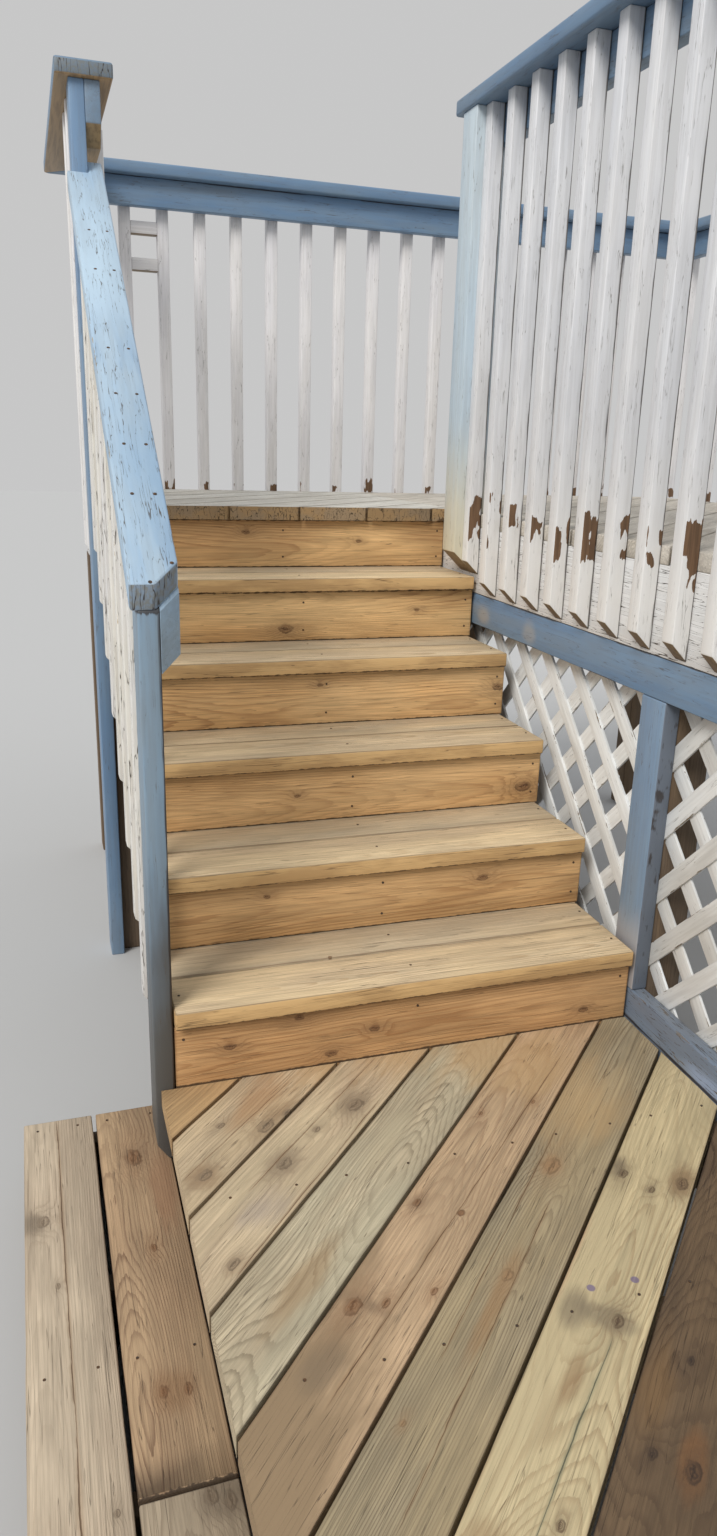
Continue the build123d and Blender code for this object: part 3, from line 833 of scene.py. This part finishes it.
# The large darker patch at the pink board's lower end is painted shade
pink_board = bare_timber(
    "pink board", (187, 159, 127), (171, 146, 115), (134, 102, 76), brown_knot, ring=0.0045, seam=0.35,
    knot_size=0.004,
    marks=((-1.457, -0.170, 0.011), (-1.428, -0.211, 0.006), (-1.212, -0.163, 0.006),
           (-0.844, -0.246, 0.004), (-0.931, -0.169, 0.004), (-1.373, -0.264, 0.005)),
    spots=((-1.445, -0.185, 0.016, 0.055, dark_stain, 0.55),
           (-1.212, -0.160, 0.03, 0.016, dark_stain, 0.45),
           (-1.72, -0.19, 0.34, 0.16, (142, 120, 92), 0.9), (-0.72, -0.2, 0.14, 0.10, golden, 0.5),
           (-1.57, -0.19, 0.05, 0.03, dark_stain, 0.35)),
    splits=(((-1.62, -0.219), (-0.66, -0.248), 0.0008, earth_stain),))
grey_tan_board = bare_timber(
    "grey tan board", (159, 142, 111), (150, 139, 117), (98, 80, 58), (150, 118, 84), lines=0.7,
    ring=0.0045, seam=0.35, wander=0.06, knot_size=0.005,
    marks=((-1.009, -0.336, 0.013), (-1.290, -0.352, 0.008), (-1.595, -0.317, 0.004)),
    spots=((-1.34, -0.355, 0.13, 0.014, (152, 114, 74), 0.55),
           (-1.009, -0.336, 0.03, 0.02, (164, 122, 84), 0.6), (-0.78, -0.32, 0.16, 0.09, golden, 0.5)),
    splits=(((-1.72, -0.372), (-1.10, -0.362), 0.0007, earth_stain),
            ((-1.48, -0.322), (-0.90, -0.312), 0.0006, earth_stain)))
yellow_board = bare_timber(
    "yellow board", (190, 173, 136), (196, 179, 142), (140, 110, 76), (88, 66, 48), ring=0.0045,
    wander=0.12, knots=0.0, cracks=0.55, seam=0.35,
    marks=((-0.967, -0.454, 0.008), (-0.985, -0.507, 0.006), (-0.943, -0.552, 0.010),
           (-1.295, -0.526, 0.008), (-1.628, -0.540, 0.005)),
    spots=((-1.26, -0.456, 0.46, 0.032, (194, 177, 140), 0.75),
           (-0.955, -0.447, 0.036, 0.022, dark_stain, 0.7),
           (-0.94, -0.552, 0.05, 0.028, earth_stain, 0.7),
           (-1.300, -0.462, 0.040, 0.020, dark_stain, 0.55),
           (-1.295, -0.520, 0.020, 0.05, dark_stain, 0.5),
           (-1.43, -0.494, 0.045, 0.014, earth_stain, 0.5),
           (-1.20, -0.425, 0.14, 0.012, (204, 164, 130), 0.6),
           (-1.69, -0.470, 0.04, 0.035, earth_stain, 0.4),
           (-1.252, -0.474, 0.006, 0.006, (112, 98, 132), 0.8),
           (-1.203, -0.530, 0.006, 0.006, (112, 98, 132), 0.8)),
    splits=(((-1.72, -0.516), (-1.33, -0.527), 0.0009, (96, 112, 92)),))
brown_board = bare_timber(
    "brown board", (103, 83, 61), (88, 71, 55), (58, 40, 26), (48, 36, 30), lines=0.85, wander=0.16,
    knot_size=0.005, marks=((-1.484, -0.668, 0.010), (-1.483, -0.617, 0.006), (-1.314, -0.635, 0.005)),
    spots=((-1.47, -0.665, 0.05, 0.016, (140, 96, 56), 0.6),
           (-1.38, -0.60, 0.10, 0.03, (128, 98, 62), 0.5)))
step_boards = [
    bare_timber(
        "step left wood", (192, 175, 152), (179, 160, 138), (134, 114, 92), grey_knot, lines=0.4,
        ring=0.0035, slope=0.008, wander=0.03, run="y", knot_size=0.004,
        marks=((-0.652, 1.350, 0.009), (-0.816, 1.329, 0.004), (-1.242, 1.267, 0.004)),
        spots=((-0.652, 1.362, 0.035, 0.022, dark_stain, 0.7),),
        splits=(((-1.66, 1.311), (-0.34, 1.316), 0.0010, earth_stain),)),
    bare_timber(
        "step right wood", (176, 149, 117), (160, 131, 102), (108, 80, 58), brown_knot, lines=0.75,
        ring=0.0045, wander=0.09, run="y", joints=((Y, -1.234, 0.0055),),
        marks=((-0.516, 1.174, 0.015), (-0.772, 1.163, 0.006), (-1.072, 1.184, 0.007),
               (-1.077, 1.147, 0.007)),
        spots=((-0.516, 1.174, 0.05, 0.03, grey_knot, 0.5),
               (-1.075, 1.165, 0.04, 0.04, earth_stain, 0.5),
               (-0.62, 1.13, 0.12, 0.03, (158, 116, 86), 0.5))),
    bare_timber(
        "step end wood", (173, 156, 132), (158, 143, 123), (110, 94, 76), grey_knot, lines=0.5,
        wander=0.08, run="y", knots=0.0, marks=((-1.254, 1.142, 0.009), (-1.267, 1.117, 0.009)),
        spots=((-1.262, 1.130, 0.03, 0.035, dark_stain, 0.6),))]
top_wood = bare_timber(
    "top landing wood", (207, 203, 194), (192, 186, 175), (140, 128, 112), grey_knot, ring=0.005,
    lines=0.4, knot_size=0.005, cracks=0.9, side=(168, 138, 98), end_cracks=0.85)
deck_wood = bare_timber(
    "upper deck wood", (197, 190, 179), (181, 173, 160), (132, 120, 104), grey_knot, knots=0.2,
    cracks=0.8)
# Frame timber in a darker brown than the wood has: painted shade for the dark under the decks
shade_darkened_frame_wood = bare_timber(
    "frame wood", (112, 92, 70), (98, 86, 74), (82, 62, 44), brown_knot, lines=0.5, knots=0.3, run="x")

chip_brown = (118, 90, 66)
# Beige of the painted sunlight on the band
painted_sun_beige = (198, 182, 156)
raw_wood = (160, 136, 100)
bare_grey = (118, 110, 98)
cut_brown = (134, 114, 88)
blue_post = painted_timber(
    "blue post paint", (108, 138, 170), (120, 146, 172), bare_grey, wear=0.24, edge_wear=0.4)
# Darker grey towards the newel's foot is painted shade
newel_paint = painted_timber(
    "newel paint", (116, 142, 166), (128, 150, 168), bare_grey, dirty=0.3,
    foot=(0.30, 1.05, (82, 79, 74), 0.95), joints=((Z, 1.265, 0.008), (X, -1.089, 0.0045)))
rail_board_paint = painted_timber("stair rail board paint", (136, 160, 182), (150, 172, 190), bare_grey)
blue_rail = painted_timber(
    "blue handrail paint", (124, 158, 194), (172, 194, 212), (164, 154, 136), wear=0.3, edge_wear=0.95,
    splits=0.9, dirty=0.08,
    stains_and_sun_patches=((0.42, 1.88, 0.42, 0.31, (180, 202, 219), 0.9),
            (-0.17, 1.45, 0.40, 0.29, (146, 174, 200), 0.85),
            (0.86, 2.20, 0.25, 0.18, (152, 179, 204), 0.8)),
    worn_end=(120, 123, 122), crazing=0.25)
end_cap = painted_timber(
    "left cap paint", (104, 130, 158), (120, 142, 162), bare_grey, wear=0.28, splits=0.7, dirty=0.3,
    raw_under=(160, 132, 96), worn_end=(116, 121, 122))
blue_cap = painted_timber("blue cap paint", (98, 128, 160), (112, 138, 164), bare_grey, splits=0.7)
# The beige patches near the band's end are painted light, a pool of sunlight on the blue paint
blue_board = painted_timber(
    "blue board paint", (102, 134, 168), (118, 144, 170), (130, 122, 110), wear=0.28, edge_wear=0.4,
    dirty=0.25, crazing=0.3, joints=((Z, 2.378, 0.005), (Z, 1.146, 0.004), (Z, 1.057, 0.003)),
    stains_and_sun_patches=((0.60, 1.125, 0.06, 0.022, painted_sun_beige, 0.65), (0.52, 1.10, 0.13, 0.03, painted_sun_beige, 0.3),
            (0.37, 1.09, 0.05, 0.03, painted_sun_beige, 0.4), (0.08, 1.09, 0.04, 0.03, painted_sun_beige, 0.3)))
base_paint = painted_timber(
    "worn base board paint", (110, 126, 146), (132, 138, 146), (116, 110, 104), wear=0.75, splits=1.0,
    dirty=0.5, dirt=(112, 107, 100), crazing=0.8,
    stains_and_sun_patches=((-0.70, 0.375, 0.14, 0.025, (108, 116, 128), 0.6),
            (-0.84, 0.335, 0.07, 0.022, (142, 158, 186), 0.8),
            (-0.98, 0.350, 0.06, 0.020, (136, 112, 98), 0.6),
            (-1.10, 0.370, 0.12, 0.025, (150, 164, 186), 0.7),
            (-1.22, 0.335, 0.07, 0.020, (140, 116, 100), 0.6),
            (-1.40, 0.365, 0.14, 0.025, (146, 160, 182), 0.6)),
    joints=((Z, 0.324, 0.005),))
# The darker grey of faces that look to the front is painted shade
wall_post_paint = painted_timber(
    "wall post paint", (116, 141, 168), (126, 148, 170), bare_grey, edge_wear=0.6, dirty=0.3,
    front=(100, 108, 120), foot=(0.49, 0.60, (176, 170, 168), 0.75))
rail_block_paint = painted_timber(
    "left rail paint", (116, 138, 160), (128, 144, 160), bare_grey, edge_wear=0.4, dirty=0.25,
    raw_under=raw_wood)
pale_post = painted_timber(
    "pale corner post paint", (184, 200, 212), (194, 207, 215), (150, 140, 124), edge_wear=0.4,
    wear=0.24, dirty=0.12, raw_under=cut_brown, foot=(1.25, 1.60, (212, 202, 174), 0.85))
white_picket = painted_timber(
    "white baluster paint", (222, 220, 222), (230, 227, 226), chip_brown, wear=0.22, edge_wear=0.3,
    dirty=0.12, raw_under=cut_brown, chips=(deck + 0.012, 0.04, 0.62))
inner_picket = painted_timber(
    "white inner baluster paint", (226, 224, 225), (232, 230, 228), chip_brown, wear=0.22,
    edge_wear=0.3, dirty=0.12)
# Lighter towards the foot of these balusters is painted light; the dark line where they meet the rim is
# painted contact shadow
chipped_picket = painted_timber(
    "chipped white baluster paint", (213, 214, 218), (223, 223, 225), chip_brown, wear=0.22,
    edge_wear=0.35, dirty=0.12, joints=((X, -0.0735, 0.0042),), chips=(deck + 0.004, 0.075, 0.66),
    raw_under=cut_brown, foot=(1.20, 1.60, (238, 236, 232), 0.75))
rail_picket = painted_timber(
    "stair rail baluster paint", (222, 220, 217), (228, 224, 214), (182, 160, 124), wear=0.32,
    edge_wear=0.6, splits=1.0, crazing=0.5)
white_board = painted_timber(
    "white rim paint", (220, 220, 220), (226, 224, 222), chip_brown, wear=0.28, splits=1.0, dirty=0.25,
    crazing=1.0)
lattice_paint = painted_timber(
    "lattice paint", (231, 233, 233), (222, 222, 219), (130, 116, 98), wear=0.3, edge_wear=0.9,
    splits=0.5)
nail_iron, b, shader = new_finish("weathered nail iron")
rust = b.noise(b.put("TexCoord").outputs["Object"], (260, 260, 260), 3)
b.feed(shader.inputs["Base Color"], b.blend(b.ease(rust, 0.4, 0.6), (70, 64, 58), (104, 76, 54)))
b.feed(shader.inputs["Roughness"], b.ease(rust, 0.3, 0.7, 0.45, 0.8))
shader.inputs["Metallic"].default_value = 0.4


# Stair

diagonal = Vector((1, 1, 0))

for k in range(6):
    dress(f"stair_riser_{k + 1}", f"riser_{k + 1}", [riser_wood[k]], radius=0.0018,
          wave=0.0006, seed=11 + k)
for k in range(5):
    dress(f"stair_tread_{k + 1}", f"tread_{k + 1}", tread_wood, radius=0.004, wave=0.001,
          seed=31 + k, order=lambda c: c.y)

dress("lower_landing", "landing_boards",
      [first_board, tan_board, knotty_board, greenish_board, pink_board, grey_tan_board, yellow_board,
       brown_board, grey_tan_board, tan_board, brown_board],
      radius=0.004, along=diagonal, wave=0.0022, seed=5, order=lambda c: c.x - c.y)
dress("lower_landing_frame", "landing_frame", [shade_darkened_frame_wood], radius=0.002, seed=6)
dress("stair_bottom_sill", "stair_sill", [shade_darkened_frame_wood], radius=0.002, seed=7)
dress("stair_stringers", "stringers", [shade_darkened_frame_wood], radius=0.002, seed=8)
dress("side_step_top", "side_step_boards", step_boards, radius=0.005, wave=0.0025,
      seed=9, order=lambda c: (c.x > -1.3) * 10 - c.y)
dress("side_step_base", "side_step_frame", [shade_darkened_frame_wood], radius=0.002, seed=10)

# Upper deck
dress("top_landing", "top_landing_boards", [top_wood], along=diagonal, wave=0.001,
      seed=14,
      broken=(((-0.085, 0.672, 1.338), (0.35, -0.5, -0.8)),
              ((-0.070, 0.668, 1.345), (0.8, -0.55, -0.25))))
dress("side_deck_back", "side_deck_boards_back", [deck_wood], along=diagonal, seed=15)
dress("side_deck_front", "side_deck_boards_front", [deck_wood], along=diagonal, seed=16)
dress("upper_deck_joists", "upper_joists", [shade_darkened_frame_wood], radius=0.002, seed=17)
dress("upper_deck_rims", "upper_rims", [white_board], radius=0.002, seed=18)
dress("upper_deck_rim_right", "upper_rim_right", [white_board], radius=0.002, seed=19)
dress("upper_deck_posts", "deck_posts", [shade_darkened_frame_wood], seed=20)

# Posts, rails and caps
dress("corner_post_right", "corner_post", [pale_post], seed=22)
dress("newel", "newel_post", [newel_paint], seed=23)
dress("top_post_left", "top_left_post", [blue_post], seed=24)
dress("stair_handrail", "handrail", [blue_rail], radius=0.004, seed=25)
dress("stair_rail_board", "stair_subrail", [rail_board_paint], seed=26)
guard_caps = {"left": end_cap}
guard_rails = {"left": rail_block_paint}
guard_pickets = {"left": inner_picket, "right": chipped_picket}
for k, side in enumerate(("left", "back", "far", "front", "right")):
    dress(f"{side}_cap", f"{side}_guard_cap", [guard_caps.get(side, blue_cap)],
          radius=0.006, seed=40 + k)
    dress(f"{side}_rail", f"{side}_guard_rail", [guard_rails.get(side, blue_board)],
          seed=50 + k)
    dress(f"{side}_balusters", f"{side}_guard_balusters",
          [guard_pickets.get(side, white_picket)], radius=0.0025, seed=60 + k)
dress("stair_rail_balusters", "stair_balusters", [rail_picket], radius=0.0025, seed=70)

# Closed wall under the deck
dress("wall_band", "band_board", [blue_board], seed=71)
dress("wall_base", "base_board", [base_paint], radius=0.004, wave=0.002, seed=72)
dress("wall_posts", "lattice_posts", [wall_post_paint], radius=0.004, seed=73)


def lattice_panel(name, node, centre_y, centre_z, front_turn):
    """Two layers of flat slats at 45 degrees, each slat cut off along the panel's edges."""
    low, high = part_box(node)
    pitch, width, thick = 0.152, 0.040, 0.006
    slats = []
    reach = (high.y - low.y) + (high.z - low.z)
    most = int(reach / pitch) + 1
    for layer, turn in enumerate((front_turn, -front_turn)):
        for k in range(-most, most + 1):
            start = centre_y + pitch / 2 + k * pitch
            x = low.x + thick * (layer + 0.5)
            bpy.ops.mesh.primitive_cube_add(size=1, location=(x, start, centre_z),
                                            rotation=(math.radians(45 * turn), 0, 0),
                                            scale=(thick, 2 * reach, width))
            slat = bpy.context.object
            pick(slat)
            bpy.ops.object.transform_apply(location=True, rotation=True, scale=True)
            bpy.ops.object.mode_set(mode="EDIT")
            for side, normal in ((low, -Y), (high, Y), (low, -Z), (high, Z)):
                bpy.ops.mesh.select_all(action="SELECT")
                bpy.ops.mesh.bisect(plane_co=side, plane_no=normal, use_fill=True, clear_outer=True)
            bpy.ops.object.mode_set(mode="OBJECT")
            # next to nothing is left of a slat that lies outside the panel
            if len(slat.data.vertices) < 6:
                bpy.data.objects.remove(slat)
                continue
            slats.append(slat)
    pick_all(slats)
    bpy.ops.object.join()
    panel = bpy.context.object
    panel.name = panel.data.name = name
    timbers = [timber_axes(panel.data, solid) for solid in loose_timbers(panel.data)]
    soften(panel, radius=0.0009)
    lay_grain(panel, timbers, seed=80)
    share_finishes(panel, timbers, [lattice_paint])
    finish_piece(panel, node)


lattice_panel("wall_lattice_front", "lattice_front", -0.617, 0.624, -1)
lattice_panel("wall_lattice_rear", "lattice_rear", -0.300, 0.921, 1)

# Nails
nail_thick = 0.0024
nail_dish = 0.0004


def nail_heads(name, heads, radius):
    """One dished nail head, copied to every place, each facing out of its own timber."""
    bpy.ops.mesh.primitive_cylinder_add(vertices=10, radius=radius, depth=nail_thick)
    model = bpy.context.object
    pick(model)
    for face in model.data.polygons:
        face.select = face.normal.z > 0.9
    bpy.ops.object.mode_set(mode="EDIT")
    bpy.ops.mesh.select_mode(type="FACE")
    bpy.ops.mesh.inset(thickness=radius * 0.3)
    bpy.ops.transform.translate(value=(0, 0, -nail_dish))
    bpy.ops.object.mode_set(mode="OBJECT")
    copies = []
    for place, facing in heads:
        nail = bpy.data.objects.new(name, model.data.copy())
        scene.collection.objects.link(nail)
        nail.matrix_world = (Matrix.Translation(place)
                             @ Vector(facing).to_track_quat("Z", "Y").to_matrix().to_4x4())
        copies.append(nail)
    bpy.data.objects.remove(model)
    pick_all(copies)
    bpy.ops.object.transform_apply(location=True, rotation=True, scale=True)
    bpy.ops.object.join()
    piece = bpy.context.object
    piece.name = piece.data.name = name
    piece.data.materials.append(nail_iron)
    bpy.ops.object.shade_smooth_by_angle(angle=math.radians(40))
    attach(piece, "root")


# The handrail's top face looks square to the stair's slope, 174 mm up for 245 mm along
rail_face = Vector((0, -174, 245)).normalized()
sunk = 0.0008
rail_nails = [(x, y, z)
              for y, z in ((0.435, 2.004), (0.291, 1.902), (0.035, 1.720), (-0.096, 1.627),
                           (-0.229, 1.533), (-0.349, 1.448))
              for x in (-1.109, -1.068)]
rail_nails += [(-1.103, -0.537, 1.314), (-1.061, -0.499, 1.341)]
nail_heads("handrail_nails", [(Vector(place) - rail_face * sunk, rail_face) for place in rail_nails],
           radius=0.0035)

# Each tread board and riser is nailed to the three stringers
stringer_x = (-1.070, -0.583, -0.100)
board_middles = (0.070, 0.215)
riser_margin = 0.03
heads = []
for k in range(5):
    low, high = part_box(f"tread_{k + 1}")
    heads += [(Vector((x, low.y + d, high.z - sunk)), Z) for x in stringer_x for d in board_middles]
for k in range(6):
    low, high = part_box(f"riser_{k + 1}")
    heads += [(Vector((x, low.y + 0.0004, low.z + d)), -Y)
              for x in stringer_x for d in (riser_margin, high.z - low.z - riser_margin)]
nail_heads("stair_nails", heads, radius=0.0028)

# Each landing board is nailed twice to each joist. Seams, pitch and rows are measured along x
deep = 0.0014
landing_joists = (-1.631, -1.253, -0.874)
first_seam, board_pitch, nail_rows = -0.4179, 0.20506, (0.045, 0.160)
low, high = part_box("landing_boards")
heads = []
for y in landing_joists:
    for k in range(-4, 9):
        for d in nail_rows:
            x = y + first_seam + k * board_pitch + d
            if low.x + 0.05 < x < high.x - 0.03:
                heads.append((Vector((x, y, high.z - deep)), Z))
step_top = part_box("side_step_boards")[1].z
heads += [(Vector((x, y, step_top - deep)), Z)
          for y in (-1.62, -1.00, -0.38) for x in (-1.355, -1.275, -1.215, -1.125)]
nail_heads("landing_nails", heads, radius=0.0025)

# Floor, light and camera
scene.view_settings.view_transform = "Standard"

floor_size = 60
lamp_distance = 8

bpy.ops.mesh.primitive_plane_add(size=floor_size, location=(0, 0, 0))
floor = bpy.context.object
floor.name = "floor"
floor_finish, b, shader = new_finish("pale floor")
shader.inputs["Base Color"].default_value = (0.5, 0.5, 0.5, 1)
shader.inputs["Roughness"].default_value = 0.9
floor.data.materials.append(floor_finish)
floor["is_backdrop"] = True

world = bpy.data.worlds.new("soft light")
scene.world = world
world.use_nodes = True
b = Bench(world.node_tree)
light = world.node_tree.nodes["Background"]
light.inputs["Color"].default_value = (0.95, 0.975, 1.0, 1)
light.inputs["Strength"].default_value = 0.62
backdrop = b.put("Background")
backdrop.inputs["Color"].default_value = (0.573, 0.573, 0.573, 1)
path = b.put("LightPath")
seen = b.calc("MAXIMUM", path.outputs["Is Camera Ray"],
              b.calc("MAXIMUM", path.outputs["Is Glossy Ray"], path.outputs["Is Transmission Ray"]))
mixed = b.put("MixShader")
b.feed(mixed.inputs[0], seen)
b.feed(mixed.inputs[1], light.outputs[0])
b.feed(mixed.inputs[2], backdrop.outputs[0])
b.feed(world.node_tree.nodes["World Output"].inputs["Surface"], mixed.outputs[0])


def add_lamp(name, towards, softness, power, tint):
    lamp_data = bpy.data.lights.new(name, "SUN")
    lamp_data.angle = math.radians(softness)
    lamp_data.energy = power
    lamp_data.color = tint
    lamp = bpy.data.objects.new(name, lamp_data)
    scene.collection.objects.link(lamp)
    lamp.location = Vector(towards) * lamp_distance
    lamp.rotation_euler = Vector(towards).to_track_quat("Z", "Y").to_euler()


add_lamp("main lamp", (-0.58, -0.48, 0.70), 26, 2.35, (1.0, 0.98, 0.94))
add_lamp("fill lamp", (0.75, -0.45, 0.5), 40, 0.25, (0.98, 0.99, 1.0))

camera_data = bpy.data.cameras.new("camera")
camera_data.lens = 24.03
camera_data.sensor_width = 36.0
camera_data.shift_x = -0.0082
camera_data.clip_end = floor_size
camera = bpy.data.objects.new("camera", camera_data)
scene.collection.objects.link(camera)
camera.matrix_world = (Matrix.Translation((-1.296, -2.3015, 1.5432))
                       @ Matrix.Rotation(-0.3252, 4, "Z")
                       @ Matrix.Rotation(math.pi / 2 - 0.3046, 4, "X")
                       @ Matrix.Rotation(0.0312, 4, "Z"))
scene.camera = camera

low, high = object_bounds()
